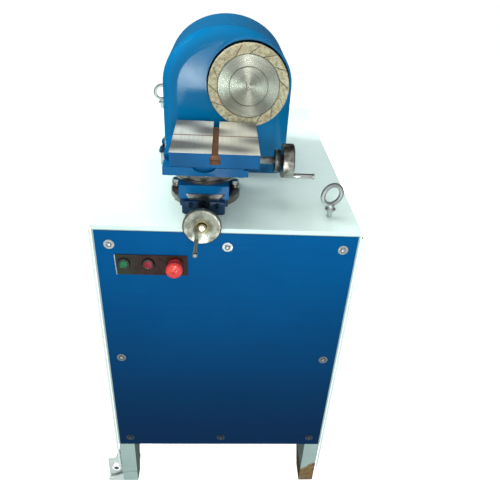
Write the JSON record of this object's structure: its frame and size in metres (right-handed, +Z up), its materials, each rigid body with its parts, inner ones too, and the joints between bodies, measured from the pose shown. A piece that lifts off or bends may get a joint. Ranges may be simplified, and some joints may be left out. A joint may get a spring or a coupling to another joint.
{
  "type": "cup-wheel lapidary grinder",
  "caption": "Floor-standing lapidary face grinder: hooded cup wheel, swivelling compound slide with slotted table, cabinet base with legs and push-button control.",
  "frame": {"origin": "floor level, in the middle of the four floor anchor holes", "axes": "+Z up, +X to the operator's right, +Y from the operator towards the back of the machine"},
  "size_m": [0.702, 1.0925, 1.3104],
  "materials": {
    "hood_blue": "gloss enamel",
    "panel_blue": "satin enamel",
    "cabinet_white": "satin enamel",
    "leg_grey": "satin enamel, worn at the foot",
    "ground_steel": "ground",
    "dark_steel": "oil-blackened, turned",
    "screw_zinc": "zinc plated",
    "chrome": "polished",
    "turned_aluminium": "turned",
    "abrasive": "diamond-filled bond",
    "bronze": "machined",
    "cast_iron": "machined where it mates",
    "control_plate": "laminate",
    "green_button": "moulded",
    "red_button": "moulded",
    "estop_red": "moulded",
    "black_plastic": "moulded",
    "motor_grey": "satin enamel",
    "belt_rubber": "moulded"
  },
  "bodies": {
    "root": {"corner_posts": "leg_grey", "frame_rails": "leg_grey", "foot_pads": "leg_grey", "foot_brackets": "leg_grey", "front_panel": "panel_blue", "rear_panel": "cabinet_white", "side_panels": "cabinet_white", "top_plate": "cabinet_white", "panel_screws": "screw_zinc", "eye_bolts": "screw_zinc", "control_plate": "control_plate", "button_bezels": "chrome", "estop_collar": "estop_red", "contact_blocks": "black_plastic", "switch_box": "black_plastic", "cable_gland": "black_plastic", "motor_body": "motor_grey", "motor_covers": "motor_grey", "motor_plate": "leg_grey", "machine_bolts": "screw_zinc", "v_belt": "belt_rubber", "spindle_pedestal": "cast_iron", "spindle_bearings": "ground_steel", "bearing_caps": "cast_iron", "hood": "hood_blue", "hood_bolts": "dark_steel", "belt_guard": "cabinet_white", "base_flange": "dark_steel", "slide_bolts": "screw_zinc", "slide_base": "panel_blue", "front_bracket": "panel_blue"},
    "cross_slide": {"cross_slide": "hood_blue", "cross_gib": "bronze", "cross_nut": "bronze", "swivel_ring": "dark_steel"},
    "saddle": {"swivel_disc": "dark_steel", "saddle": "hood_blue", "screw_end_caps": "panel_blue"},
    "table": {"table": "ground_steel", "table_nut": "bronze"},
    "front_crank": {"low_lead_screw": "ground_steel", "front_collar": "ground_steel", "front_handwheel": "ground_steel", "front_grip": "chrome"},
    "right_crank": {"high_lead_screw": "ground_steel", "right_handwheel": "chrome"},
    "right_grip": {"right_grip": "chrome"},
    "spindle": {"spindle_shaft": "ground_steel", "spindle_pulley": "cast_iron", "wheel_back": "ground_steel", "face_plate": "turned_aluminium", "abrasive_segments": "abrasive", "wheel_bolt": "dark_steel"},
    "motor_rotor": {"motor_rotor": "ground_steel", "motor_pulley": "cast_iron"},
    "start_button": {"start_cap": "green_button"},
    "stop_button": {"stop_cap": "red_button"},
    "estop_stem": {"estop_stem": "estop_red"},
    "estop_head": {"estop_head": "estop_red"}
  },
  "joints": [
    {"name": "spindle_spin", "type": "hinge", "parent": "root", "child": "spindle", "pos_m": [0.043, 0, 1.182], "axis": [0, 1, 0], "continuous": true},
    {"name": "motor_spin", "type": "hinge", "parent": "root", "child": "motor_rotor", "pos_m": [0.043, 0, 0.52], "axis": [0, 1, 0], "continuous": true},
    {"name": "front_crank_turn", "type": "hinge", "parent": "root", "child": "front_crank", "pos_m": [-0.057, -0.52, 0.9675], "axis": [0, 1, 0], "range_deg": [-4505, 905]},
    {"name": "cross_feed", "type": "slide", "parent": "root", "child": "cross_slide", "axis": [0, 1, 0], "range_m": [-0.05, 0.01]},
    {"name": "swivel_turn", "type": "hinge", "parent": "cross_slide", "child": "saddle", "pos_m": [-0.057, -0.33, 1.02], "axis": [0, 0, 1], "range_deg": [-45, 0]},
    {"name": "right_crank_turn", "type": "hinge", "parent": "saddle", "child": "right_crank", "pos_m": [0.124, -0.33, 1.046], "axis": [1, 0, 0], "range_deg": [-5405, 2705]},
    {"name": "right_grip_spin", "type": "hinge", "parent": "right_crank", "child": "right_grip", "pos_m": [0.176, -0.344, 1.014], "axis": [1, 0, 0], "continuous": true},
    {"name": "table_feed", "type": "slide", "parent": "saddle", "child": "table", "axis": [1, 0, 0], "range_m": [-0.06, 0.03]},
    {"name": "start_press", "type": "slide", "parent": "root", "child": "start_button", "axis": [0, 1, 0], "range_m": [0, 0.004], "stiffness_N_per_m": 400},
    {"name": "stop_press", "type": "slide", "parent": "root", "child": "stop_button", "axis": [0, 1, 0], "range_m": [0, 0.004], "stiffness_N_per_m": 400},
    {"name": "estop_push", "type": "slide", "parent": "root", "child": "estop_stem", "axis": [0, 1, 0], "range_m": [0, 0.005]},
    {"name": "estop_twist", "type": "hinge", "parent": "estop_stem", "child": "estop_head", "pos_m": [-0.121, -0.52, 0.841], "axis": [0, 1, 0], "range_deg": [0, 40]}
  ],
  "couplings": [
    {"joint": "motor_spin", "follows": "spindle_spin", "ratio": 0.72727},
    {"joint": "front_crank_turn", "follows": "cross_feed", "rad_per_m": 1570.8},
    {"joint": "right_crank_turn", "follows": "table_feed", "rad_per_m": 1570.8}
  ]
}
